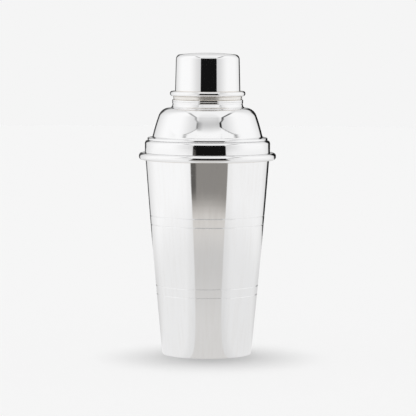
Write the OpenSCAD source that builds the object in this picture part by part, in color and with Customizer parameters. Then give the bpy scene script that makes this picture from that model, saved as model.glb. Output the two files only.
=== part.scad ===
// Three-piece cocktail shaker: a tapered tumbler, a strainer top that plugs
// into it, and a pull-off cap. All of it is spun sheet metal with soldered
// wires and rings, so every piece is a solid of revolution about Z.
// The shaker stands on z = 0, with its axis on Z.

/* [Tumbler] */
// Height of the tumbler from its foot to its rim
tumbler_h = 155.0; // [150:0.1:160]
// Outside diameter of the wall at the rim
mouth_d = 95.6; // [94:0.1:97]
// Outside diameter of the wall at the foot
foot_d = 68.4; // [62:0.1:74]
// How far the wall bows out of a straight cone at mid height
wall_bow = 0.5; // [0:0.05:1.5]
// Overall diameter of the bead round the rim
rim_bead_d = 105.2; // [103:0.1:108]
// Height of the bead round the rim
rim_bead_h = 5.3; // [3:0.1:6]
// How high the middle of the base is pushed up
base_push_up = 2.2; // [0.5:0.1:4]

/* [Engraved lines] */
// Share of the tumbler's height at which each pair of lines is centred
line_pairs = [0.322, 0.668]; // [0.1:0.001:0.8]
// Distance between the two lines of a pair
line_gap = 6.7; // [3:0.1:10]
// Width of one line
line_w = 0.85; // [0.3:0.05:0.9]
// Depth of one line
line_depth = 0.25; // [0.1:0.05:0.4]

/* [Strainer top] */
// Outside diameter of the straight band that stands on the rim
band_d = 96.1; // [95:0.1:98]
// Height of the band
band_h = 9.5; // [7:0.1:12]
// Radius that rounds the band's upper edge
band_round = 2.3; // [1:0.1:2.4]
// Height of the dome above the band, without the neck
dome_h = 25.0; // [23:0.1:29]
// Lean of the lower half of the dome's side from upright
lean_low = 14.2; // [12:0.1:16]
// Lean of the upper half of the dome's side from upright
lean_high = 19.2; // [17:0.1:21]
// Radius that rounds the dome's shoulder
dome_round = 9; // [4:0.1:10]
// Depth of the skirt that plugs into the tumbler
skirt_depth = 16; // [10:0.5:24]

/* [Neck] */
// Outside diameter of the reeded ring at the foot of the neck
reed_d = 54.4; // [53.6:0.1:56]
// Height of the reeded ring
reed_ring_h = 6.1; // [5.5:0.1:7]
// Height of the seat that the cap stands on
seat_h = 2.8; // [2:0.1:4]
// Height of the pouring neck above the seat
pour_h = 17; // [12:0.5:22]
// Diameter of one strainer hole
hole_d = 2.8; // [2:0.1:3.2]
// Number of rings of holes round the middle one
hole_rings = 3; // [1:1:3]

/* [Cap] */
// Height of the cap
cap_h = 32.9; // [28:0.1:38]
// Outside diameter of the cap's wall at its mouth
cap_mouth_d = 50.2; // [49.8:0.1:51]
// Outside diameter of the cap's wall at its top
cap_top_d = 48.6; // [46:0.1:49.5]
// Radius that rounds the cap's top edge
cap_round = 3.6; // [2:0.1:5.5]
// Rise of the cap's crown
crown_h = 1.0; // [0.2:0.1:2]
// Overall diameter of the bead round the cap's mouth
cap_bead_d = 57.8; // [56:0.1:59]
// Height of the bead round the cap's mouth
cap_bead_h = 3.8; // [2:0.1:4]

/* [Sheet and fits] */
// Thickness of the spun sheet
sheet_t = 0.9; // [0.7:0.05:1.1]
// Gap that solder fills between two joined pieces
solder_gap = 0.05; // [0.02:0.01:0.1]
// Clearance of the push fits, on the radius
fit_gap = 0.12; // [0.08:0.01:0.2]
// Clearance between a lifting piece and the face that it stands on
stand_gap = 0.05; // [0.02:0.01:0.1]

/* [Hidden] */
$fn = 96;
arc_step = 8;         // degrees between the points of an arc
wall_steps = 24;      // straight stretches in the bowed wall
silver = [0.86, 0.86, 0.85];
pale_silver = [0.92, 0.92, 0.91];

mouth_r = mouth_d / 2;
foot_r = foot_d / 2;
band_r = band_d / 2;
band_z = tumbler_h + stand_gap;
band_top = band_z + band_h;
dome_top = band_top + dome_h;
neck_r = cap_mouth_d / 2 - sheet_t - fit_gap;
seat_z = dome_top + reed_ring_h;
cap_z = seat_z + seat_h + stand_gap;
cap_top = cap_z + cap_h;

// The strainer top's skirt starts inside the band and runs below the rim.
skirt_lap = 6;            // how far the skirt reaches up inside the band
skirt_step = 0.6;         // height over which it widens to meet the band
skirt_lead = 0.5;         // taper of its lower edge, on the radius
skirt_top = band_z + skirt_lap;
skirt_land_r = band_r - sheet_t - solder_gap;

// The lip of the dome stands a little inside the band's edge, on a narrow ring.
lip_inset = 2;
lip_foot = 2.4;           // width of the ring on which the lip stands
lip_round = 0.7;
lip_under_round = 0.9;
lip_r = band_r - lip_inset;
band_lap = 1.2;           // how far the band's top reaches in past that ring

// The dome's side rises from a cove, where the flange starts that falls to the lip.
// The side bows out a little, because its two halves lean differently.
belly_rise = 9.5;         // cove to the middle of the side
belly_half = 6;           // length of each half of the bowed stretch
belly_round = belly_half / tan((lean_high - lean_low) / 2);
flange_fall = 8;          // degrees below level
cove_round = 1.4;
cove_inset = 5.7;
cove_rise = 2.45;
dome_foot_r = band_r - cove_inset;
dome_foot_z = band_top + cove_rise;
lip_rise = cove_rise - (lip_r - dome_foot_r) * tan(flange_fall);
crown_fall = 5;           // degrees below level, on the dome's top
crown_inset = 3.6;        // width of the flat ring between the dome and the neck
dome_crown_r = neck_r + sheet_t + crown_inset;
neck_start = 2.5;         // how far the neck tube reaches down inside the dome

// ---------------------------------------------------------------- outlines

function unit(v) = v / norm(v);
function flat(p) = [p[0], p[1]];

// Points of an arc round c, from angle a0 through sweep degrees.
function arc(c, r, a0, sweep) =
    let (n = max(2, ceil(abs(sweep) / arc_step)))
    [for (i = [0:n]) c + r * [cos(a0 + sweep * i / n), sin(a0 + sweep * i / n)]];

// The corner b between a and c, rounded to radius r.
function rounded_corner(a, b, c, r) =
    r == 0 ? [b] :
    let (
        u = unit(a - b),
        v = unit(c - b),
        half = acos(u * v) / 2,
        centre = b + unit(u + v) * r / sin(half),
        p = b + u * r / tan(half) - centre,
        q = b + v * r / tan(half) - centre,
        a0 = atan2(p.y, p.x),
        sweep = (atan2(q.y, q.x) - a0 + 540) % 360 - 180
    )
    arc(centre, r, a0, sweep);

// A closed outline from corners [radius, height, rounding].
function rounded(path) =
    let (n = len(path))
    [for (i = [0:n - 1])
        each rounded_corner(flat(path[(i + n - 1) % n]), flat(path[i]),
                            flat(path[(i + 1) % n]), path[i][2])];

// The corner b between a and c, moved t to the right of the way from a to c.
function moved_corner(a, b, c, t) =
    let (
        u = unit(b - a),
        v = unit(c - b),
        out = unit([u.y + v.y, -u.x - v.x])
    )
    b + out * t / (out * [u.y, -u.x]);

module revolve(points) {
    rotate_extrude() polygon(points);
}

// ---------------------------------------------------------------- tumbler

// Outside radius of the tumbler's wall at height z.
function wall_r(z) =
    let (s = z / tumbler_h)
    foot_r + (mouth_r - foot_r) * s + wall_bow * 4 * s * (1 - s);

function wall_points(z0, z1, out) =
    [for (i = [0:wall_steps])
        let (z = z0 + (z1 - z0) * i / wall_steps)
        [wall_r(z) + out, z]];

module engraved_line(z) {
    rotate_extrude()
        translate([wall_r(z) - line_depth + line_w / 2, z])
            circle(d = line_w, $fn = 24);
}

module tumbler_wall() {
    color(silver)
    difference() {
        revolve([each wall_points(0, tumbler_h, 0),
                 each wall_points(tumbler_h, 0, -sheet_t)]);
        for (share = line_pairs)
            for (side = [-1, 1])
                engraved_line(share * tumbler_h + side * line_gap / 2);
    }
}

base_z = 1.6;             // foot to the underside of the base, at its edge
base_flange_h = 3.6;
base_edge = 3;            // width of the flat ring round the pushed-up disc
base_round = 1.2;         // where that ring turns up into the flange
base_in_round = 0.4;

// Radius of the base's upturned flange at height z.
function base_r(z) = wall_r(z) - sheet_t - solder_gap;

// Points of the pushed-up disc, from its middle to radius r.
function push_up(r, z) =
    let (ball = (r * r + base_push_up * base_push_up) / (2 * base_push_up))
    [for (i = [0:12])
        let (x = r * i / 12)
        [x, z + base_push_up - ball + sqrt(ball * ball - x * x)]];

module tumbler_base() {
    flat_r = base_r(base_z) - base_edge;
    lower = push_up(flat_r, base_z);
    upper = push_up(flat_r, base_z + sheet_t);
    top = base_z + base_flange_h;
    color(silver)
    revolve([
        each lower,
        each rounded_corner([flat_r, base_z], [base_r(base_z), base_z],
                            [base_r(top), top], base_round),
        [base_r(top), top],
        [base_r(top) - sheet_t, top],
        each rounded_corner([base_r(top) - sheet_t, top],
                            [base_r(base_z) - sheet_t, base_z + sheet_t],
                            [flat_r, base_z + sheet_t], base_in_round),
        each [for (i = [len(upper) - 1:-1:0]) upper[i]]
    ]);
}

wire_round = 0.88;        // rounding of a wire's edges, as a share of half its height

// A wire soldered round a wall: flat inside, where it runs from inner_low to
// inner_high, and nearly half round outside.
module d_wire(inner_low, inner_high, outer_r, low, high) {
    r = wire_round * (high - low) / 2;
    revolve([
        [inner_low, low],
        each arc([outer_r - r, low + r], r, -90, 90),
        each arc([outer_r - r, high - r], r, 0, 90),
        [inner_high, high]
    ]);
}

module rim_bead() {
    low = tumbler_h - rim_bead_h;
    color(pale_silver)
    d_wire(wall_r(low) + solder_gap, wall_r(tumbler_h) + solder_gap,
           rim_bead_d / 2, low, tumbler_h);
}

// ---------------------------------------------------------------- strainer top

// Outside radius of the skirt, which follows the inside of the tumbler.
function skirt_r(z) = wall_r(z) - sheet_t - fit_gap;

module plug_skirt() {
    low = tumbler_h - skirt_depth;
    lead_top = low + 2 * skirt_lead;
    n = 6;
    outside = [for (i = [0:n])
        let (z = lead_top + (tumbler_h - lead_top) * i / n)
        [skirt_r(z), z]];
    color(silver)
    revolve([
        [skirt_r(low) - skirt_lead, low],
        each outside,
        [skirt_land_r, band_z + skirt_step],
        [skirt_land_r, skirt_top],
        [skirt_land_r - sheet_t, skirt_top],
        [skirt_land_r - sheet_t, band_z],
        [skirt_r(low) - sheet_t, low]
    ]);
}

module shoulder_band() {
    in_r = lip_r - lip_foot - band_lap;
    wall_in = band_r - sheet_t;
    color(silver)
    revolve(rounded([
        [band_r, band_z, 0],
        [band_r, band_top, band_round],
        [in_r, band_top, 0],
        [in_r, band_top - sheet_t, 0],
        [wall_in, band_top - sheet_t, band_round - sheet_t],
        [wall_in, band_z, 0]
    ]));
}

// Corners of the dome's upper surface, from the neck to the lip's edge.
dome_foot = [dome_foot_r, dome_foot_z];
dome_belly = dome_foot + belly_rise * [-tan(lean_low), 1];
crown_corner_r =
    (dome_belly.x - (dome_top - dome_belly.y + dome_crown_r * tan(crown_fall)) * tan(lean_high))
    / (1 - tan(crown_fall) * tan(lean_high));
dome_crown = [dome_crown_r, dome_top];
dome_corner = [crown_corner_r,
               dome_top - (crown_corner_r - dome_crown_r) * tan(crown_fall)];
lip_top = [lip_r, band_top + lip_rise];

module shoulder_dome() {
    in_corner = moved_corner(dome_crown, dome_corner, dome_belly, sheet_t);
    in_belly = moved_corner(dome_corner, dome_belly, dome_foot, sheet_t);
    in_foot = moved_corner(dome_belly, dome_foot, lip_top, sheet_t);
    foot_in_r = lip_r - lip_foot;
    under_flange = in_foot.y - (foot_in_r - in_foot.x) * tan(flange_fall);
    color(silver)
    revolve(rounded([
        [neck_r + solder_gap, dome_top, 0],
        [dome_crown.x, dome_crown.y, 0],
        [dome_corner.x, dome_corner.y, dome_round],
        [dome_belly.x, dome_belly.y, belly_round],
        [dome_foot.x, dome_foot.y, cove_round],
        [lip_top.x, lip_top.y, lip_round],
        [lip_r, band_top, lip_under_round],
        [foot_in_r, band_top, 0],
        [foot_in_r, under_flange, 0],
        [in_foot.x, in_foot.y, cove_round + sheet_t],
        [in_belly.x, in_belly.y, belly_round - sheet_t],
        [in_corner.x, in_corner.y, dome_round - sheet_t],
        [dome_crown.x, dome_top - sheet_t, 0],
        [neck_r + solder_gap, dome_top - sheet_t, 0]
    ]));
}

reed_pitch = 1.4;
reed_round = 2.4;         // radius of a reed's face
reed_sweep = 32;          // degrees of that face
reed_count = 2;
reed_top = 0.05;          // upper reed to the ring's upper edge
reed_depth = 0.45;        // of the grooves between the reeds
foot_flare = 1.2;         // how far the ring's foot spreads past its reeds
foot_flare_h = 0.95;
foot_flare_round = 1.2;
foot_waist = 0.17;        // how far the foot stands past the reeds above its flare

module reeded_ring() {
    r = reed_d / 2;
    in_r = neck_r + solder_gap;
    lowest = seat_z - reed_top - reed_count * reed_pitch;
    reeds = [
        for (i = [0:reed_count - 1])
            each [
                [r - reed_depth, lowest + i * reed_pitch],
                each arc([r - reed_round, lowest + (i + 0.5) * reed_pitch], reed_round,
                         -reed_sweep / 2, reed_sweep)
            ]
    ];
    color(pale_silver)
    revolve([
        [in_r, dome_top],
        [r + foot_flare, dome_top],
        each rounded_corner([r + foot_flare, dome_top], [r + foot_waist, dome_top + foot_flare_h],
                            [r - reed_depth, lowest], foot_flare_round),
        each reeds,
        [r - reed_depth, seat_z],
        [in_r, seat_z]
    ]);
}

seat_inset = 0.7;         // how far the seat's upper edge stands in from the reeds
seat_waist = 0.25;        // how much narrower it is just above its foot
seat_flare = 0.3;         // how far its foot spreads
seat_flare_h = 0.45;
seat_flare_round = 0.4;
seat_round = 0.25;        // of its upper edge

module cap_seat() {
    r = reed_d / 2 - seat_inset;
    in_r = neck_r + solder_gap;
    color(silver)
    revolve(rounded([
        [in_r, seat_z, 0],
        [r + seat_flare, seat_z, 0],
        [r - seat_waist, seat_z + seat_flare_h, seat_flare_round],
        [r, seat_z + seat_h, seat_round],
        [in_r, seat_z + seat_h, 0]
    ]));
}

// Lean of the cap's wall, which the pouring neck follows.
cap_lean = (cap_mouth_d - cap_top_d) / 2 / (cap_h - crown_h);

// Outside radius of the pouring neck at height z.
function pour_r(z) = neck_r - max(0, z - cap_z) * cap_lean;

module pouring_neck() {
    low = dome_top - neck_start;
    high = seat_z + seat_h + pour_h;
    lip = sheet_t / 2 - 0.01;
    color(silver)
    revolve(rounded([
        [neck_r, low, 0],
        [neck_r, cap_z, 0],
        [pour_r(high), high, lip],
        [pour_r(high) - sheet_t, high, lip],
        [neck_r - sheet_t, cap_z, 0],
        [neck_r - sheet_t, low, 0]
    ]));
}

plate_drop = 8;           // pouring edge to the strainer plate
plate_flange_h = 3;
plate_round = 0.8;
plate_in_round = 0.3;
hole_pitch = 5.3;         // between rings of holes

module strainer_plate() {
    z = seat_z + seat_h + pour_h - plate_drop;
    low = z - plate_flange_h;
    top_r = pour_r(z) - sheet_t - solder_gap;
    low_r = pour_r(low) - sheet_t - solder_gap;
    color(silver)
    difference() {
        revolve(rounded([
            [0, z, 0],
            [top_r, z, plate_round],
            [low_r, low, 0],
            [low_r - sheet_t, low, 0],
            [top_r - sheet_t, z - sheet_t, plate_in_round],
            [0, z - sheet_t, 0]
        ]));
        for (ring = [0:hole_rings])
            for (i = [0:max(1, 6 * ring) - 1])
                rotate(i * 60 / max(1, ring))
                    translate([ring * hole_pitch, 0, low])
                        cylinder(d = hole_d, h = plate_flange_h + 1, $fn = 32);
    }
}

// ---------------------------------------------------------------- cap

crown_edge = 0.6;         // between the rounded edge and the crown

// Points of the cap's crown, from radius r to the middle.
function crown(r, z) =
    let (ball = (r * r + crown_h * crown_h) / (2 * crown_h))
    [for (i = [8:-1:0])
        let (x = r * i / 8)
        [x, z - ball + sqrt(ball * ball - x * x)]];

module cap_shell() {
    mouth = cap_mouth_d / 2;
    top = cap_top_d / 2;
    crown_r = top - cap_round - crown_edge;
    edge_z = cap_top - crown_h * 1.25;
    outer = crown(crown_r, cap_top);
    inner = crown(crown_r, cap_top - sheet_t);
    color(pale_silver)
    revolve([
        [mouth, cap_z],
        each rounded_corner([mouth, cap_z], [top, edge_z], outer[0], cap_round),
        each outer,
        each [for (i = [len(inner) - 1:-1:0]) inner[i]],
        each rounded_corner(inner[0], [top - sheet_t, edge_z - sheet_t],
                            [mouth - sheet_t, cap_z], cap_round - sheet_t),
        [mouth - sheet_t, cap_z]
    ]);
}

module cap_bead() {
    mouth = cap_mouth_d / 2;
    high = cap_z + cap_bead_h;
    color(pale_silver)
    d_wire(mouth + solder_gap, mouth - cap_bead_h * cap_lean + solder_gap,
           cap_bead_d / 2, cap_z, high);
}

tumbler_wall();
tumbler_base();
rim_bead();
plug_skirt();
shoulder_band();
shoulder_dome();
reeded_ring();
cap_seat();
pouring_neck();
strainer_plate();
cap_shell();
cap_bead();
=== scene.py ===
"""The looks of a three-piece silver-plated cocktail shaker, built round its CAD frame.

Every piece is spun sheet or drawn wire, so each one is an outline in millimetres (radius,
height) that is turned round the Z axis. Z is up, and the shaker stands on z = 0.
"""

import math

import bpy
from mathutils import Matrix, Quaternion, Vector


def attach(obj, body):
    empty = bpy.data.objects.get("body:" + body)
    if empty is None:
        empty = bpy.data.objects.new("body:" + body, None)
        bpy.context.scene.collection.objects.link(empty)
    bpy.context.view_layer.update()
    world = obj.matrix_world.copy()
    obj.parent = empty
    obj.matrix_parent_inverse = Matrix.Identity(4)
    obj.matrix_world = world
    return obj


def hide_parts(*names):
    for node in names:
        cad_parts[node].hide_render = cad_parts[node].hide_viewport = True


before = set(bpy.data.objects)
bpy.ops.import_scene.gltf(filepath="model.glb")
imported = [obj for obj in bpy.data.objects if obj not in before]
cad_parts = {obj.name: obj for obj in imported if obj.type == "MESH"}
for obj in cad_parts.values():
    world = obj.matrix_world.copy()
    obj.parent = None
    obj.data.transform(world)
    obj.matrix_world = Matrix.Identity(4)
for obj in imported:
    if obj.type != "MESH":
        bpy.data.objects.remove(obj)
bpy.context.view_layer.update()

MM = 0.001

# ---------------------------------------------------------------- sizes, in millimetres

SHEET = 0.9               # thickness of the spun sheet
SOLDER_GAP = 0.05
FIT_GAP = 0.12            # radial clearance of the push fits
STAND_GAP = 0.05          # under a piece that lifts

TUMBLER_H = 155.0
MOUTH_R = 47.8
FOOT_R = 34.2
WALL_BOW = 0.5
RIM_BEAD_R = 52.6
RIM_BEAD_H = 5.3
LINE_PAIRS = (0.322, 0.668)     # share of the tumbler's height
LINE_GAP = 6.7
LINE_W = 0.85
LINE_DEPTH = 0.25
BASE_Z = 1.6
BASE_FLANGE_H = 3.6
BASE_PUSH_UP = 2.2
BASE_EDGE = 3             # width of the flat ring round the pushed-up disc
BASE_ROUND = 1.2
BASE_IN_ROUND = 0.4
BASE_LIP = (0.3, 0.4)     # bevel inside the upper edge of the base's flange

BAND_Z = TUMBLER_H + STAND_GAP
BAND_R = 48.05
BAND_H = 9.5
BAND_ROUND = 2.3
BAND_TOP = BAND_Z + BAND_H
SKIRT_DEPTH = 16
SKIRT_LAND_H = 6          # how far it reaches up inside the band
SKIRT_TOP = BAND_Z + SKIRT_LAND_H
SKIRT_LEAD = 0.5          # taper of the skirt's lower edge, on the radius
SKIRT_LEAD_H = 1
SKIRT_STEP = 0.6          # height over which the skirt widens to meet the band
SKIRT_ROUND = 0.5
SKIRT_EDGE = 0.2
SKIRT_LAND_R = BAND_R - SHEET - SOLDER_GAP
BAND_LAP = 1.2            # how far the band's top reaches in past the dome's lip

DOME_H = 25.0
DOME_TOP = BAND_TOP + DOME_H
DOME_INSET = 5.7          # from the band to the foot of the dome's side
COVE_RISE = 2.45
LEAN_LOW = math.radians(14.2)      # lean of the lower half of the dome's side
LEAN_HIGH = math.radians(19.2)
DOME_ROUND = 9
DOME_FOOT = (BAND_R - DOME_INSET, BAND_TOP + COVE_RISE)
BELLY_RISE = 9.5          # cove to the middle of the side
BELLY_HALF = 6            # length of each half of the bowed stretch
BELLY_ROUND = BELLY_HALF / math.tan((LEAN_HIGH - LEAN_LOW) / 2)
LIP_INSET = 2
LIP_R = BAND_R - LIP_INSET
LIP_FOOT = 2.4
LIP_ROUND = 0.7
LIP_UNDER_ROUND = 0.9
FLANGE_FALL = math.radians(8)
CROWN_FALL = math.radians(5)
CROWN_INSET = 3.6         # width of the flat ring between the dome and the neck
COVE_ROUND = 1.4
UNDER_LIP_ROUND = 0.3     # inside the lip

REED_RING_R = 27.2
REED_RING_H = 6.1
REED_PITCH = 1.4
REED_ROUND = 2.4          # radius of a reed's face
REED_SWEEP = math.radians(32)
REED_COUNT = 2
REED_TOP = 0.05           # upper reed to the ring's upper edge
REED_DEPTH = 0.45         # of the grooves between the reeds
FOOT_FLARE = 1.2          # how far the ring's foot spreads past its reeds
FOOT_FLARE_H = 0.95
FOOT_FLARE_ROUND = 1.2
FOOT_WAIST = 0.17         # how far the foot stands past the reeds above its flare
SEAT_Z = DOME_TOP + REED_RING_H
SEAT_H = 2.8
SEAT_R = REED_RING_R - 0.7      # at the seat's upper edge
SEAT_FLARE = 0.3          # how far the seat's foot spreads
SEAT_FLARE_H = 0.45
SEAT_FLARE_ROUND = 0.4
SEAT_WAIST = 0.25         # how much narrower it is just above its foot
SEAT_ROUND = 0.25         # of its upper edge
NECK_START = 2.5          # how far the neck tube reaches down inside the dome
POUR_H = 17

CAP_Z = SEAT_Z + SEAT_H + STAND_GAP
CAP_H = 32.9
CAP_TOP = CAP_Z + CAP_H
CAP_MOUTH_R = 25.1
CAP_TOP_R = 24.3
CAP_ROUND = 3.6
CROWN_H = 1.0
CROWN_EDGE = 0.6          # between the cap's rounded edge and its crown
EDGE_DROP = 1.25 * CROWN_H      # the crown's top to the corner of that edge
CAP_BEAD_R = 28.9
CAP_BEAD_H = 3.8
CAP_LEAN = (CAP_MOUTH_R - CAP_TOP_R) / (CAP_H - CROWN_H)
NECK_R = CAP_MOUTH_R - SHEET - FIT_GAP
POUR_TOP = SEAT_Z + SEAT_H + POUR_H

WIRE_ROUND = 0.88         # rounding of a wire's edges, as a share of half its height
EDGE = 0.12               # radius that breaks a sharp edge
ARC_STEP = math.radians(5)
ARC_LENGTH = 0.35         # longest stretch between two points of an arc
LONG_STEP = 2.5           # longest stretch between two points of an outline
SUPPORT = 0.06            # distance of the point that holds a flat beside a round
WALL_STEP = 5             # longest stretch of the bowed wall's outside
WALL_CUTS = 30            # stretches of its inside
GROOVE_STEPS = 8
TURN_STEPS = 288          # facets round the axis

# ---------------------------------------------------------------- outlines


def arc(centre, radius, start, sweep):
    """Points of an arc, from angle start through sweep."""
    steps = max(2, math.ceil(abs(sweep) / ARC_STEP), math.ceil(abs(sweep) * radius / ARC_LENGTH))
    return [(centre[0] + radius * math.cos(start + sweep * i / steps),
             centre[1] + radius * math.sin(start + sweep * i / steps)) for i in range(steps + 1)]


def rounded_corner(a, b, c, radius):
    """The corner b between a and c, rounded."""
    if radius == 0:
        return [tuple(b[:2])]
    b = Vector(b[:2])
    u = (Vector(a[:2]) - b).normalized()
    v = (Vector(c[:2]) - b).normalized()
    half = u.angle(v) / 2
    centre = b + (u + v).normalized() * radius / math.sin(half)
    p = b + u * radius / math.tan(half) - centre
    q = b + v * radius / math.tan(half) - centre
    start = math.atan2(p.y, p.x)
    sweep = (math.atan2(q.y, q.x) - start + math.pi) % math.tau - math.pi
    return arc(centre, radius, start, sweep)


def rounded(path):
    """A closed outline from corners (radius, height, rounding)."""
    count = len(path)
    return [p for i in range(count)
            for p in rounded_corner(path[i - 1], path[i], path[(i + 1) % count], path[i][2])]


def moved_corner(a, b, c, distance):
    """The corner b between a and c, moved to the right of the way from a to c."""
    a, b, c = Vector(a), Vector(b), Vector(c)
    u = (b - a).normalized()
    v = (c - b).normalized()
    right = Vector((u.y, -u.x))
    out = (right + Vector((v.y, -v.x))).normalized()
    return tuple(b + out * distance / out.dot(right))


def with_supports(points, closed):
    """The outline with long stretches cut up, and a point close to each end of them."""
    out = []
    count = len(points)
    for i, p in enumerate(points):
        out.append(p)
        if i == count - 1 and not closed:
            break
        p, q = Vector(p), Vector(points[(i + 1) % count])
        length = (q - p).length
        if length < 6 * SUPPORT:
            continue
        inner = [SUPPORT, length - SUPPORT]
        cuts = math.floor((length - 2 * SUPPORT) / LONG_STEP)
        inner[1:1] = [length * (k + 1) / (cuts + 1) for k in range(cuts)]
        out += [tuple(p + (q - p) * d / length) for d in inner]
    return out


def wall_r(z):
    """Outside radius of the tumbler's wall."""
    s = z / TUMBLER_H
    return FOOT_R + (MOUTH_R - FOOT_R) * s + WALL_BOW * 4 * s * (1 - s)


def groove(z):
    """Points of a half-round engraved line, from below it to above it."""
    points = []
    for i in range(GROOVE_STEPS + 1):
        a = math.pi * i / GROOVE_STEPS
        height = z + LINE_W / 2 * math.cos(a + math.pi)
        points.append((wall_r(height) - LINE_DEPTH * math.sin(a), height))
    return points


def d_wire(low_r, high_r, outer_r, low, high):
    """A wire on a wall, nearly half round outside."""
    r = WIRE_ROUND * (high - low) / 2
    return [(low_r, low), *arc((outer_r - r, low + r), r, -math.pi / 2, math.pi / 2),
            *arc((outer_r - r, high - r), r, 0, math.pi / 2), (high_r, high)]


def sagging(radius, z, rise, steps=60):
    """Points of a shallow ball's top, from the axis to radius."""
    ball = (radius ** 2 + rise ** 2) / (2 * rise)
    return [(radius * i / steps, z + rise - ball + math.sqrt(ball ** 2 - (radius * i / steps) ** 2))
            for i in range(steps + 1)]


# ---------------------------------------------------------------- meshes

SHARP_ANGLE = math.radians(28)


def make_object(name, verts, faces):
    mesh = bpy.data.meshes.new(name)
    mesh.from_pydata(verts, [], faces)
    mesh.validate()
    mesh.shade_smooth()
    mesh.set_sharp_from_angle(angle=SHARP_ANGLE)
    piece = bpy.data.objects.new(name, mesh)
    bpy.context.scene.collection.objects.link(piece)
    return piece


def turned(name, outline):
    """The outline turned round the axis. One that starts on the axis also ends on it."""
    on_axis = outline[0][0] == 0
    points = with_supports(outline, closed=not on_axis)
    verts = []
    rings = []
    for r, z in points:
        first = len(verts)
        if r == 0:
            verts.append((0, 0, z * MM))
            rings.append([first] * TURN_STEPS)
            continue
        for k in range(TURN_STEPS):
            a = math.tau * k / TURN_STEPS
            verts.append((r * MM * math.cos(a), r * MM * math.sin(a), z * MM))
        rings.append(list(range(first, first + TURN_STEPS)))
    faces = []
    pairs = list(zip(rings, rings[1:])) + ([] if on_axis else [(rings[-1], rings[0])])
    for low, high in pairs:
        for k in range(TURN_STEPS):
            n = (k + 1) % TURN_STEPS
            face = [low[k], low[n], high[n], high[k]]
            faces.append(list(dict.fromkeys(face)))
    return make_object(name, verts, faces)


# ---------------------------------------------------------------- the pieces


def tumbler_wall():
    lines = sorted(share * TUMBLER_H + side * LINE_GAP / 2
                   for share in LINE_PAIRS for side in (-1, 1))
    stops = [EDGE, *lines, TUMBLER_H - SHEET / 2]
    outline = arc((wall_r(0) - EDGE, EDGE), EDGE, -math.pi / 2, math.pi / 2)
    for low, high in zip(stops, stops[1:]):
        if low in lines:
            outline += groove(low)
            low += LINE_W / 2
        stretch = high - low - (LINE_W / 2 if high in lines else 0)
        cuts = math.ceil(stretch / WALL_STEP)
        outline += [(wall_r(low + stretch * k / cuts), low + stretch * k / cuts)
                    for k in range(1, cuts)]
    top_r = wall_r(TUMBLER_H) - SHEET / 2
    outline += arc((top_r, TUMBLER_H - SHEET / 2), SHEET / 2, 0, math.pi)
    outline += [(wall_r(z) - SHEET, z)
                for z in (TUMBLER_H * (1 - k / WALL_CUTS) for k in range(1, WALL_CUTS))]
    outline += arc((wall_r(0) - SHEET + EDGE, EDGE), EDGE, math.pi, math.pi / 2)
    return turned("tumbler_wall_shell", outline)


def base_r(z):
    return wall_r(z) - SHEET - SOLDER_GAP


def tumbler_base():
    flat_r = base_r(BASE_Z) - BASE_EDGE
    top = BASE_Z + BASE_FLANGE_H
    lower = sagging(flat_r, BASE_Z, BASE_PUSH_UP)
    upper = sagging(flat_r, BASE_Z + SHEET, BASE_PUSH_UP)
    outline = [
        *lower,
        *rounded_corner((flat_r, BASE_Z), (base_r(BASE_Z), BASE_Z), (base_r(top), top),
                        BASE_ROUND),
        (base_r(top), top),
        (base_r(top) - SHEET + BASE_LIP[0], top),
        (base_r(top) - SHEET, top - BASE_LIP[1]),
        *rounded_corner((base_r(top) - SHEET, top), (base_r(BASE_Z) - SHEET, BASE_Z + SHEET),
                        (flat_r, BASE_Z + SHEET), BASE_IN_ROUND),
        *reversed(upper),
    ]
    return turned("tumbler_base_disc", outline)


def rim_bead():
    low = TUMBLER_H - RIM_BEAD_H
    return turned("rim_bead_wire", d_wire(wall_r(low) + SOLDER_GAP, wall_r(TUMBLER_H) + SOLDER_GAP,
                                          RIM_BEAD_R, low, TUMBLER_H))


def skirt_r(z):
    return wall_r(z) - SHEET - FIT_GAP


def plug_skirt():
    low = TUMBLER_H - SKIRT_DEPTH
    outline = rounded([
        (skirt_r(low) - SKIRT_LEAD, low, SKIRT_EDGE),
        (skirt_r(low + SKIRT_LEAD_H), low + SKIRT_LEAD_H, SKIRT_ROUND),
        (skirt_r(TUMBLER_H), TUMBLER_H, SKIRT_EDGE),
        (SKIRT_LAND_R, BAND_Z + SKIRT_STEP, SKIRT_EDGE),
        (SKIRT_LAND_R, SKIRT_TOP, EDGE),
        (SKIRT_LAND_R - SHEET, SKIRT_TOP, EDGE),
        (SKIRT_LAND_R - SHEET, BAND_Z, SKIRT_ROUND),
        (skirt_r(low) - SHEET, low, SKIRT_EDGE),
    ])
    return turned("plug_skirt_shell", outline)


def shoulder_band():
    in_r = LIP_R - LIP_FOOT - BAND_LAP
    outline = rounded([
        (BAND_R, BAND_Z, EDGE),
        (BAND_R, BAND_TOP, BAND_ROUND),
        (in_r, BAND_TOP, EDGE),
        (in_r, BAND_TOP - SHEET, EDGE),
        (BAND_R - SHEET, BAND_TOP - SHEET, BAND_ROUND - SHEET),
        (BAND_R - SHEET, BAND_Z, EDGE),
    ])
    return turned("shoulder_band_shell", outline)


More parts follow.
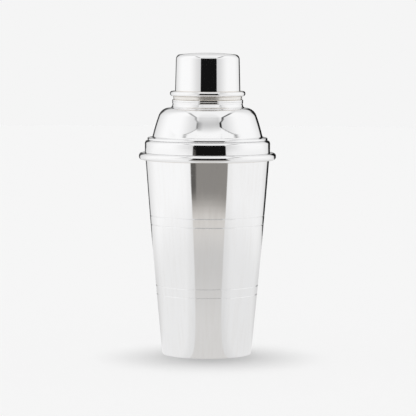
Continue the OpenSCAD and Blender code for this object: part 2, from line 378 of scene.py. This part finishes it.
def shoulder_dome():
    crown_r = NECK_R + SHEET + CROWN_INSET
    belly = (DOME_FOOT[0] - BELLY_RISE * math.tan(LEAN_LOW), DOME_FOOT[1] + BELLY_RISE)
    side_h = DOME_TOP - belly[1]
    corner_r = ((belly[0] - (side_h + crown_r * math.tan(CROWN_FALL)) * math.tan(LEAN_HIGH))
                / (1 - math.tan(CROWN_FALL) * math.tan(LEAN_HIGH)))
    crown = (crown_r, DOME_TOP)
    corner = (corner_r, DOME_TOP - (corner_r - crown_r) * math.tan(CROWN_FALL))
    lip_top = (LIP_R, DOME_FOOT[1] - (LIP_R - DOME_FOOT[0]) * math.tan(FLANGE_FALL))
    in_corner = moved_corner(crown, corner, belly, SHEET)
    in_belly = moved_corner(corner, belly, DOME_FOOT, SHEET)
    in_foot = moved_corner(belly, DOME_FOOT, lip_top, SHEET)
    foot_in_r = LIP_R - LIP_FOOT
    outline = rounded([
        (NECK_R + SOLDER_GAP, DOME_TOP, 0),
        (*crown, 0),
        (*corner, DOME_ROUND),
        (*belly, BELLY_ROUND),
        (*DOME_FOOT, COVE_ROUND),
        (*lip_top, LIP_ROUND),
        (LIP_R, BAND_TOP, LIP_UNDER_ROUND),
        (foot_in_r, BAND_TOP, 0),
        (foot_in_r, in_foot[1] - (foot_in_r - in_foot[0]) * math.tan(FLANGE_FALL),
         UNDER_LIP_ROUND),
        (*in_foot, COVE_ROUND + SHEET),
        (*in_belly, BELLY_ROUND - SHEET),
        (*in_corner, DOME_ROUND - SHEET),
        (crown_r, DOME_TOP - SHEET, 0),
        (NECK_R + SOLDER_GAP, DOME_TOP - SHEET, 0),
    ])
    return turned("shoulder_dome_shell", outline)


def reeded_ring():
    in_r = NECK_R + SOLDER_GAP
    groove_r = REED_RING_R - REED_DEPTH
    lowest = SEAT_Z - REED_TOP - REED_COUNT * REED_PITCH
    foot = (REED_RING_R + FOOT_FLARE, DOME_TOP)
    waist = (REED_RING_R + FOOT_WAIST, DOME_TOP + FOOT_FLARE_H)
    outline = [(in_r, DOME_TOP), foot,
               *rounded_corner(foot, waist, (groove_r, lowest), FOOT_FLARE_ROUND)]
    for k in range(REED_COUNT):
        low = lowest + k * REED_PITCH
        outline.append((groove_r, low))
        outline += arc((REED_RING_R - REED_ROUND, low + REED_PITCH / 2), REED_ROUND,
                       -REED_SWEEP / 2, REED_SWEEP)
    return turned("reeded_ring_wire", [*outline, (groove_r, SEAT_Z), (in_r, SEAT_Z)])


def cap_seat():
    in_r = NECK_R + SOLDER_GAP
    outline = rounded([
        (in_r, SEAT_Z, 0),
        (SEAT_R + SEAT_FLARE, SEAT_Z, 0),
        (SEAT_R - SEAT_WAIST, SEAT_Z + SEAT_FLARE_H, SEAT_FLARE_ROUND),
        (SEAT_R, SEAT_Z + SEAT_H, SEAT_ROUND),
        (in_r, SEAT_Z + SEAT_H, 0),
    ])
    return turned("cap_seat_collar", outline)


def pour_r(z):
    return NECK_R - max(0, z - CAP_Z) * CAP_LEAN


def pouring_neck():
    low = DOME_TOP - NECK_START
    lip = SHEET / 2 - 0.01      # a little under half, so that the two rounds don't touch
    outline = rounded([
        (NECK_R, low, EDGE),
        (NECK_R, CAP_Z, 0),
        (pour_r(POUR_TOP), POUR_TOP, lip),
        (pour_r(POUR_TOP) - SHEET, POUR_TOP, lip),
        (NECK_R - SHEET, CAP_Z, 0),
        (NECK_R - SHEET, low, EDGE),
    ])
    return turned("pouring_neck_tube", outline)


def cap_shell():
    crown_r = CAP_TOP_R - CAP_ROUND - CROWN_EDGE
    edge_z = CAP_TOP - EDGE_DROP
    outer = sagging(crown_r, CAP_TOP - CROWN_H, CROWN_H)
    inner = sagging(crown_r, CAP_TOP - CROWN_H - SHEET, CROWN_H)
    mouth = (CAP_MOUTH_R, CAP_Z)
    in_mouth = (CAP_MOUTH_R - SHEET, CAP_Z)
    outline = [
        *inner,
        *reversed(rounded_corner(in_mouth, (CAP_TOP_R - SHEET, edge_z - SHEET), inner[-1],
                                 CAP_ROUND - SHEET)),
        *rounded_corner(inner[-1], in_mouth, mouth, EDGE),
        *rounded_corner(in_mouth, mouth, (CAP_TOP_R, edge_z), EDGE),
        *rounded_corner(mouth, (CAP_TOP_R, edge_z), outer[-1], CAP_ROUND),
        *reversed(outer),
    ]
    return turned("cap_shell_cup", outline)


def cap_bead():
    high = CAP_Z + CAP_BEAD_H
    return turned("cap_bead_wire", d_wire(CAP_MOUTH_R + SOLDER_GAP,
                                          CAP_MOUTH_R - CAP_BEAD_H * CAP_LEAN + SOLDER_GAP,
                                          CAP_BEAD_R, CAP_Z, high))


# ---------------------------------------------------------------- materials

CLOUDS = 24               # noise per metre
SPECKS = 900
CLOUD_HEIGHT = 3          # clouds of the surface against its grain
CREASE_WIDTH = 0.7        # millimetres
CREASE_START = 0.1        # where the tarnish beside a joint begins to fade
CREASE_TARNISH = 0.5
FINE_GRAIN = 3            # fine grain against the coarse
SPECK_ROUGHNESS = 0.06
TARNISH_ROUGHNESS = 0.15
BRIGHT = (0.935, 0.935, 0.94)
WARM = (0.9, 0.885, 0.86)
TARNISH = (0.62, 0.55, 0.45)
UPWARD = (420, 420, 9)    # grain that runs up the wall, as noise per metre
ROUND = (25, 25, 1600)    # grain that runs round the axis


class Graph:
    """Adds nodes to a tree. Each method returns a socket, and takes sockets or numbers."""

    def __init__(self, tree):
        self.tree = tree

    def add(self, kind, **settings):
        node = self.tree.nodes.new(kind)
        for key, value in settings.items():
            setattr(node, key, value)
        return node

    def feed(self, socket, value):
        if isinstance(value, bpy.types.NodeSocket):
            self.tree.links.new(value, socket)
        else:
            socket.default_value = value

    def calc(self, operation, *values):
        node = self.add("ShaderNodeMath", operation=operation)
        for socket, value in zip(node.inputs, values):
            self.feed(socket, value)
        return node.outputs[0]

    def ramp(self, value, start, end, low=0.0, high=1.0):
        """A smooth step from low at start to high at end."""
        node = self.add("ShaderNodeMapRange", interpolation_type="SMOOTHSTEP")
        for name, v in (("Value", value), ("From Min", start), ("From Max", end),
                        ("To Min", low), ("To Max", high)):
            self.feed(node.inputs[name], v)
        return node.outputs["Result"]

    def mix(self, share, a, b):
        node = self.add("ShaderNodeMix")
        for name, v in (("Factor", share), ("A", a), ("B", b)):
            self.feed(node.inputs[name], v)
        return node.outputs["Result"]

    def within(self, value, low, high, soft):
        """1 between low and high, with edges that are soft wide."""
        half = self.calc("DIVIDE", soft, 2)
        up = self.ramp(value, self.calc("SUBTRACT", low, half), self.calc("ADD", low, half))
        down = self.ramp(value, self.calc("SUBTRACT", high, half), self.calc("ADD", high, half),
                         1, 0)
        return self.calc("MULTIPLY", up, down)

    def noise(self, vector, scale, detail):
        node = self.add("ShaderNodeTexNoise")
        self.feed(node.inputs["Vector"], vector)
        node.inputs["Scale"].default_value = scale
        node.inputs["Detail"].default_value = detail
        return node.outputs["Fac"]

    def stretched(self, vector, scale):
        node = self.add("ShaderNodeVectorMath", operation="MULTIPLY")
        self.feed(node.inputs[0], vector)
        node.inputs[1].default_value = scale
        return node.outputs["Vector"]

    def mix_colour(self, share, a, b):
        """The colours' own sockets are 6 and 7, and their result is 2."""
        node = self.add("ShaderNodeMix", data_type="RGBA")
        self.feed(node.inputs["Factor"], share)
        node.inputs[6].default_value = (*a, 1)
        node.inputs[7].default_value = (*b, 1)
        return node.outputs[2]

    def split(self, vector):
        node = self.add("ShaderNodeSeparateXYZ")
        self.feed(node.inputs[0], vector)
        return node.outputs[:]

    def angle_to(self, direction, normal):
        """Degrees by which a direction lies above the plane with this normal."""
        node = self.add("ShaderNodeVectorMath", operation="DOT_PRODUCT")
        self.feed(node.inputs[0], direction)
        node.inputs[1].default_value = Vector(normal).normalized()
        return self.calc("DEGREES", self.calc("ARCSINE", node.outputs["Value"]))


def silver(name, tint, dull, rough, grain, wave, creases=(), streaks=0.005):
    """Silver plate. Its tint varies in soft clouds and along its grain, and it is dull in
    some places more than in others. The grain runs up the wall or round it, and streaks is
    how far it shows in the tint. Creases are the heights at which polish and tarnish have
    stayed in a joint. Noise runs from 0 to 1, and most of it lies between 0.3 and 0.7."""
    material = bpy.data.materials.new(name)
    material.use_nodes = True
    graph = Graph(material.node_tree)
    shader = material.node_tree.nodes["Principled BSDF"]
    shader.inputs["Metallic"].default_value = 1
    place = graph.add("ShaderNodeTexCoord").outputs["Object"]
    cloud = graph.noise(place, CLOUDS, detail=3)
    along = graph.noise(graph.stretched(place, grain), 1, detail=4)
    fine = graph.noise(graph.stretched(place, [FINE_GRAIN * g for g in grain]), 1, detail=2)
    specks = graph.ramp(graph.noise(place, SPECKS, detail=1), 0.7, 0.78)

    z = graph.split(place)[2]
    tarnish = graph.calc("MULTIPLY", graph.ramp(cloud, 0.35, 0.75), dull)
    for height in creases:
        off = graph.calc("ABSOLUTE", graph.calc("SUBTRACT", z, height * MM))
        near = graph.ramp(off, CREASE_START * MM, CREASE_WIDTH * MM, 1, 0)
        near = graph.calc("MULTIPLY", near, graph.ramp(fine, 0.3, 0.6, 0.5, 1))
        tarnish = graph.calc("MAXIMUM", tarnish, graph.calc("MULTIPLY", near, CREASE_TARNISH))
    streak = graph.calc("MULTIPLY", graph.ramp(along, 0.4, 0.65), streaks)
    tarnish = graph.calc("ADD", tarnish, streak)
    colour = graph.mix_colour(tarnish, tint, TARNISH)
    graph.feed(shader.inputs["Base Color"], colour)

    low, high = rough
    worn = graph.ramp(along, 0.3, 0.7, low, high)
    worn = graph.calc("ADD", worn, graph.calc("MULTIPLY", specks, SPECK_ROUGHNESS))
    worn = graph.calc("ADD", worn, graph.calc("MULTIPLY", tarnish, TARNISH_ROUGHNESS))
    graph.feed(shader.inputs["Roughness"], worn)

    bump = graph.add("ShaderNodeBump")
    bump.inputs["Strength"].default_value = 1
    bump.inputs["Distance"].default_value = wave * MM
    height = graph.calc("ADD", graph.calc("MULTIPLY", cloud, CLOUD_HEIGHT),
                        graph.calc("ADD", along, fine))
    graph.feed(bump.inputs["Height"], height)
    graph.feed(shader.inputs["Normal"], bump.outputs["Normal"])
    return material


LOOKS = {
    "tumbler_silver": dict(tint=BRIGHT, dull=0.02, rough=(0.02, 0.07), grain=UPWARD, wave=0.0008,
                           creases=(TUMBLER_H - RIM_BEAD_H,), streaks=0.035),
    "spun_silver": dict(tint=BRIGHT, dull=0.02, rough=(0.02, 0.05), grain=ROUND, wave=0.0001,
                        creases=(CAP_Z + CAP_BEAD_H,)),
    "wire_silver": dict(tint=BRIGHT, dull=0.04, rough=(0.04, 0.09), grain=ROUND, wave=0.0002,
                        creases=(TUMBLER_H - RIM_BEAD_H, CAP_Z, CAP_Z + CAP_BEAD_H)),
    "worn_silver": dict(tint=WARM, dull=0.12, rough=(0.24, 0.36), grain=ROUND, wave=0.0005,
                        creases=(SEAT_Z, SEAT_Z + SEAT_H)),
    "satin_silver": dict(tint=WARM, dull=0.06, rough=(0.16, 0.28), grain=ROUND, wave=0.0005),
}
materials = {name: silver(name, **look) for name, look in LOOKS.items()}

# ---------------------------------------------------------------- assembly

# piece, body, material, the record's material slot
PIECES = (
    (tumbler_wall, "tumbler", "tumbler_silver", "polished_silver"),
    (tumbler_base, "tumbler", "satin_silver", "inner_silver"),
    (rim_bead, "tumbler", "wire_silver", "wire_silver"),
    (plug_skirt, "strainer_top", "satin_silver", "inner_silver"),
    (shoulder_band, "strainer_top", "spun_silver", "polished_silver"),
    (shoulder_dome, "strainer_top", "spun_silver", "polished_silver"),
    (reeded_ring, "strainer_top", "wire_silver", "wire_silver"),
    (cap_seat, "strainer_top", "worn_silver", "wire_silver"),
    (pouring_neck, "strainer_top", "satin_silver", "inner_silver"),
    (cap_shell, "cap", "spun_silver", "polished_silver"),
    (cap_bead, "cap", "wire_silver", "wire_silver"),
)

for make, body, look, slot in PIECES:
    piece = make()
    piece.data.materials.append(materials[look])
    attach(piece, body)
    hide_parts(make.__name__)

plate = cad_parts["strainer_plate"]
plate.data.materials.clear()
plate.data.materials.append(materials["satin_silver"])
bevel = plate.modifiers.new("broken_edges", "BEVEL")
bevel.width = EDGE * MM
bevel.segments = 2
bevel.limit_method = "ANGLE"
bevel.angle_limit = math.radians(40)
bevel.harden_normals = True

# ---------------------------------------------------------------- camera

CAMERA_DISTANCE = 1.95
CAMERA_HEIGHT = 0.2613
AIM = Vector((0.0006, 0, 0.1123))
CAMERA_ROLL = math.radians(0.24)

camera = bpy.data.objects.new("camera", bpy.data.cameras.new("camera"))
bpy.context.scene.collection.objects.link(camera)
camera.data.lens = 220
camera.data.sensor_width = 36
camera.data.clip_end = 50
camera.location = (AIM.x, -CAMERA_DISTANCE, CAMERA_HEIGHT)
look = (AIM - camera.location).to_track_quat("-Z", "Y")
camera.rotation_mode = "QUATERNION"
camera.rotation_quaternion = look @ Quaternion((0, 0, 1), CAMERA_ROLL)
bpy.context.scene.camera = camera

bpy.context.scene.view_settings.view_transform = "Standard"

# ---------------------------------------------------------------- studio

# The metal mirrors a white booth whose front is open to a dark room. Tones are on the
# display's scale from 0 to 255, and tone_to_light turns one into light.


OPENING_MIDDLE = 3.5      # azimuth of the booth's opening, in degrees right of the camera
OPENING_HALF = 28.5
OPENING_TOP = 24          # elevation, in degrees
CORNER = 28               # where the side walls end in front, in degrees from the middle
LEFT_WALL_TOP = (0.892, -0.187, 0.412)      # normals of the planes through the gaps
RIGHT_WALL_TOP = (-0.827, -0.22, 0.518)
GAP = 2.2                 # half the width of a gap, and how soft its edges are
GAP_SOFT = 3
PANEL_TOP = 32.2          # elevation at which the narrow panel meets the ceiling
ROOM_TONE = 26
SILVER_LIGHT = 0.93       # share of the light that the metal gives back

# Pairs are for the booth's left and right side.
WALL_TONE = (250, 247)
BROW_HEIGHT = (29.2, 27.0)      # elevation of a wall's upper edge in front
BROW_SLOPE = 0.17
SEAM_HEIGHT = (36.9, 39.5)      # and of the seam above the flap
SEAM_SLOPE = (0.373, 0.36)
SEAM_BEND = (0.00196, 0.00122)
SEAM_LEVEL = (92, 120)          # azimuth from which the seam stays level
SEAM_END = (56, 78)
FLAP_TONE = 244
SEAM_TONE = (178, 160)
GAP_TONE = (165, 95)
CORNER_TONE = (135, 25)
CORNER_SHADE = (0.2, 0.03)
BACK_START = (151, 147)         # azimuths of the booth's dark back edges
BACK_END = (158, 154)
BACK_TONE = (70, 25)


def tone_to_light(graph, tone):
    light = graph.calc("POWER", graph.calc("DIVIDE", tone, 255.0), 2.2)
    return graph.calc("DIVIDE", light, SILVER_LIGHT)


def booth_tone(graph, direction):
    """How bright the booth looks from the shaker, in each direction.

    Angles are in degrees. "off" is the azimuth from the opening's middle, "turn" is the
    azimuth from the camera, and "right" is 1 on the camera's right and 0 on its left.
    """
    x, y, z = graph.split(direction)
    azimuth = graph.calc("DEGREES", graph.calc("ARCTAN2", x, graph.calc("MULTIPLY", y, -1)))
    elevation = graph.calc("DEGREES", graph.calc("ARCSINE", z))
    off = graph.calc("ABSOLUTE", graph.calc("SUBTRACT", azimuth, OPENING_MIDDLE))
    right = graph.ramp(azimuth, -8, 8)

    # side walls: a little darker towards the opening and towards the back
    inner = graph.ramp(off, 20, 76, 0.83, 1)
    outer = graph.ramp(off, 105, 165, 1, 0.87)
    walls = graph.calc("MULTIPLY", graph.calc("MULTIPLY", inner, outer),
                       graph.mix(right, *WALL_TONE))

    # the ceiling and the narrow panel over the opening
    panel = graph.ramp(elevation, 25.5, PANEL_TOP, 247, 197)
    roof = graph.ramp(elevation, PANEL_TOP, 39, 197, 229)
    roof = graph.calc("ADD", roof, graph.ramp(elevation, 39, 90, 0, 12))
    shaded = graph.mix(graph.ramp(elevation, PANEL_TOP - 0.4, PANEL_TOP + 0.4), panel, roof)
    plain = graph.ramp(elevation, 33, 60, 243, 241)
    roof = graph.mix(graph.ramp(off, 22, 34), shaded, plain)

    # each side wall ends at a gap towards the ceiling, at a thin seam above its low front
    # flap, and at a corner in front where the two meet
    over_left = graph.angle_to(direction, LEFT_WALL_TOP)
    over_right = graph.angle_to(direction, RIGHT_WALL_TOP)
    over = graph.mix(right, over_left, over_right)
    turn = graph.calc("ABSOLUTE", azimuth)
    brow_height = graph.calc("ADD", graph.mix(right, *BROW_HEIGHT),
                             graph.calc("MULTIPLY", turn, BROW_SLOPE))
    brow = graph.calc("MULTIPLY", graph.calc("SUBTRACT", elevation, brow_height), 4)
    over = graph.calc("SMOOTH_MIN", over, brow, 2)
    along = graph.calc("MINIMUM", turn, graph.mix(right, *SEAM_LEVEL))
    slope = graph.calc("SUBTRACT", graph.mix(right, *SEAM_SLOPE),
                       graph.calc("MULTIPLY", along, graph.mix(right, *SEAM_BEND)))
    seam_height = graph.calc("SUBTRACT", graph.mix(right, *SEAM_HEIGHT),
                             graph.calc("MULTIPLY", along, slope))
    below = graph.calc("MULTIPLY", graph.calc("SUBTRACT", seam_height, elevation), 8)
    beyond = graph.calc("SUBTRACT", CORNER, off)
    edge = graph.calc("SMOOTH_MAX", over, beyond, 3)
    outside = graph.calc("SMOOTH_MAX", edge, below, 2)
    upper = graph.ramp(below, -8, -32)

    flap = graph.calc("MULTIPLY", graph.ramp(below, -2.4, 2.4), graph.ramp(elevation, 12, 18))
    flap = graph.calc("MULTIPLY", flap, graph.ramp(off, 105, 80))
    walls = graph.mix(flap, walls, FLAP_TONE)
    on_wall = graph.ramp(edge, 0.5, -0.5)
    tone = graph.mix(on_wall, roof, walls)

    # a soft shadow beside the left corner, then the dark gaps
    shade = graph.calc("MULTIPLY", graph.ramp(off, 12, 27), graph.within(elevation, 28, 33.5, 2))
    shade = graph.calc("MULTIPLY", shade, graph.mix(right, *CORNER_SHADE))
    shade = graph.calc("MULTIPLY", shade, graph.ramp(outside, 0, 1))
    tone = graph.calc("MULTIPLY", tone, graph.calc("SUBTRACT", 1, shade))
    depth = graph.calc("MULTIPLY", graph.ramp(off, 170, 50, 0.3, 1),
                       graph.ramp(off, 112, 85, 0.3, 1))
    gap = graph.within(outside, -GAP, GAP, GAP_SOFT)
    gap = graph.calc("MULTIPLY", gap, depth)
    seam_end = graph.mix(right, *SEAM_END)
    seam = graph.ramp(graph.calc("SUBTRACT", turn, seam_end), 4, -4)
    gap = graph.calc("MULTIPLY", gap, graph.calc("MAXIMUM", upper, seam))
    corner = graph.within(elevation, 28.8, 32.6, 1.4)
    dark = graph.mix(upper, graph.mix(right, *SEAM_TONE), graph.mix(right, *GAP_TONE))
    dark = graph.mix(corner, dark, graph.mix(right, *CORNER_TONE))
    tone = graph.mix(gap, tone, dark)

    # dark room beyond the opening, and the dark edges of the booth's back
    wide = graph.ramp(elevation, 0, -9, 0, 5)
    width = graph.calc("ADD", wide, OPENING_HALF)
    opening = graph.calc("MULTIPLY", graph.ramp(graph.calc("SUBTRACT", off, width), -1, 1, 1, 0),
                         graph.within(elevation, -60, OPENING_TOP, 1.5))
    tone = graph.mix(opening, tone, ROOM_TONE)
    back = graph.ramp(turn, graph.mix(right, *BACK_START), graph.mix(right, *BACK_END))
    back = graph.calc("MULTIPLY", back, graph.ramp(elevation, 14, 24, 1, 0))
    straight = graph.calc("MULTIPLY", graph.ramp(turn, 176, 178), graph.ramp(elevation, 2, 4))
    back = graph.calc("MULTIPLY", back, graph.calc("SUBTRACT", 1, straight))
    return graph.mix(back, tone, graph.mix(right, *BACK_TONE))


BACKGROUND_LIGHT = 0.913
PAPER = 0.9               # share of the light that the floor gives back
SUN_SHARE = 0.42          # of the floor's light
SKY_BOOST = 1.015         # brings the lit floor to the background's tone
SKY_LIGHT = SKY_BOOST * BACKGROUND_LIGHT / PAPER * (1 - SUN_SHARE)
SUN_SLANT = math.radians(10)
SUN_TURN = math.radians(5)
SUN_SIZE = math.radians(30)
FLOOR_R = 4               # metres
SWEEP_R = 3
SWEEP_DROP = 0.0004       # keeps the mirrored sheet under the floor


def studio_world():
    world = bpy.data.worlds.new("studio")
    bpy.context.scene.world = world
    world.use_nodes = True
    graph = Graph(world.node_tree)
    direction = graph.add("ShaderNodeTexCoord").outputs["Generated"]
    light = tone_to_light(graph, booth_tone(graph, direction))
    path = graph.add("ShaderNodeLightPath").outputs
    light = graph.mix(path["Is Glossy Ray"], SKY_LIGHT, light)
    light = graph.mix(path["Is Camera Ray"], light, BACKGROUND_LIGHT)
    colour = graph.add("ShaderNodeCombineColor")
    for name in ("Red", "Green", "Blue"):
        graph.feed(colour.inputs[name], light)
    background = world.node_tree.nodes["Background"]
    graph.feed(background.inputs["Color"], colour.outputs["Color"])


def disc(name, radius, z, steps=96):
    verts = [(radius * math.cos(math.tau * k / steps), radius * math.sin(math.tau * k / steps), z)
             for k in range(steps)]
    piece = make_object(name, verts, [list(range(steps))])
    return piece


# Tones of the painted reflection of the sheet on the floor, and the azimuths of its dark edges at
# the back.
STRIP_TONE = 133          # the grey end of the strip in front
# tone of a painted shadow along the strip's left edge
STRIP_SHADOW_TONE = 90
SWEEP_BACK_START = (152, 146)
SWEEP_BACK_END = (162, 155)
SWEEP_BACK_TONE = (75, 35)
WARMTH = (1.04, 0.99, 0.93)     # of the strip, in red, green and blue


def mirrored_sweep():
    """The sheet that the booth's objects stand on, as only the metal sees it. It is a glowing disc
    that lights nothing, with the floor's light and shade painted on it as a painted reflection.
    """
    # a glowing disc that only glossy rays see: a painted reflection of the floor
    sweep = disc("floor_painted_reflection", SWEEP_R, -SWEEP_DROP)
    for ray in ("camera", "diffuse", "transmission", "volume_scatter", "shadow"):
        setattr(sweep, "visible_" + ray, False)
    material = bpy.data.materials.new("sweep")
    material.use_nodes = True
    graph = Graph(material.node_tree)
    material.node_tree.nodes.clear()
    x, y, z = graph.split(graph.add("ShaderNodeTexCoord").outputs["Object"])
    azimuth = graph.calc("DEGREES", graph.calc("ARCTAN2", x, graph.calc("MULTIPLY", y, -1)))
    far = graph.calc("SQRT", graph.calc("ADD", graph.calc("MULTIPLY", x, x),
                                        graph.calc("MULTIPLY", y, y)))
    off = graph.calc("ABSOLUTE", graph.calc("SUBTRACT", azimuth, OPENING_MIDDLE))
    turn = graph.calc("ABSOLUTE", azimuth)
    right = graph.ramp(azimuth, -8, 8)
    left_tone = graph.ramp(far, 0.3, 0.68, 231.5, 246)
    right_tone = graph.ramp(far, 0.3, 0.65, 226.5, 239.5)
    side = graph.mix(right, left_tone, right_tone)
    side = graph.calc("MULTIPLY", side, graph.ramp(off, 26, 50, 0.95, 1))
    side = graph.calc("MULTIPLY", side, graph.ramp(off, 115, 160, 1, 0.9))

    # painted reflection of the strip in front: pale by the foot, grey further out, then the dark
    # room
    front = graph.ramp(far, 0.1, 0.3, 208, 196)
    front = graph.calc("ADD", front, graph.ramp(far, 0.33, 0.43, 0, 8))
    front = graph.mix(graph.ramp(far, 0.46, 0.61), front, STRIP_TONE)
    front = graph.mix(graph.ramp(far, 0.85, 1.0), front, ROOM_TONE)
    width = graph.calc("SUBTRACT", graph.ramp(far, 0, 0.78, 26.5, 34),
                       graph.ramp(far, 0.9, 3, 0, 4))
    in_front = graph.ramp(graph.calc("SUBTRACT", off, width), -1, 1, 1, 0)
    tone = graph.mix(in_front, side, front)
    # a painted shadow: a dark band along the left edge of the strip, from 0.54 m out
    edge = graph.calc("MULTIPLY", graph.within(azimuth, -33, -21, 4), graph.ramp(far, 0.54, 0.64))
    edge = graph.calc("MULTIPLY", edge, in_front)
    tone = graph.mix(edge, tone, STRIP_SHADOW_TONE)

    # painted reflection of dark far edges at the back
    back = graph.ramp(turn, graph.mix(right, *SWEEP_BACK_START),
                      graph.mix(right, *SWEEP_BACK_END))
    back = graph.calc("MULTIPLY", back, graph.ramp(far, 0.75, 0.95))
    tone = graph.mix(back, tone, graph.mix(right, *SWEEP_BACK_TONE))
    light = tone_to_light(graph, tone)
    warm = graph.calc("MULTIPLY", in_front, graph.ramp(far, 0.3, 0.6, 0.3, 1))
    colour = graph.add("ShaderNodeCombineColor")
    for name, share in zip(("Red", "Green", "Blue"), WARMTH):
        graph.feed(colour.inputs[name], graph.calc("MULTIPLY", light, graph.mix(warm, 1, share)))
    emission = graph.add("ShaderNodeEmission")
    graph.feed(emission.inputs["Color"], colour.outputs["Color"])
    output = graph.add("ShaderNodeOutputMaterial")
    graph.feed(output.inputs["Surface"], emission.outputs[0])
    sweep.data.materials.append(material)


def pale_floor():
    floor = disc("floor", FLOOR_R, 0)
    floor.visible_glossy = False
    material = bpy.data.materials.new("paper")
    material.use_nodes = True
    shader = material.node_tree.nodes["Principled BSDF"]
    shader.inputs["Base Color"].default_value = (PAPER, PAPER, PAPER, 1)
    shader.inputs["Roughness"].default_value = 1
    shader.inputs["Specular IOR Level"].default_value = 0
    floor.data.materials.append(material)


def soft_light():
    """A wide lamp, high behind the shaker and a little to its left."""
    light = bpy.data.objects.new("softbox", bpy.data.lights.new("softbox", "SUN"))
    bpy.context.scene.collection.objects.link(light)
    light.data.angle = SUN_SIZE
    light.data.energy = math.pi * SUN_SHARE * BACKGROUND_LIGHT / PAPER / math.cos(SUN_SLANT)
    light.rotation_euler = (-SUN_SLANT, 0, SUN_TURN)
    light.visible_glossy = False


studio_world()
mirrored_sweep()
pale_floor()
soft_light()
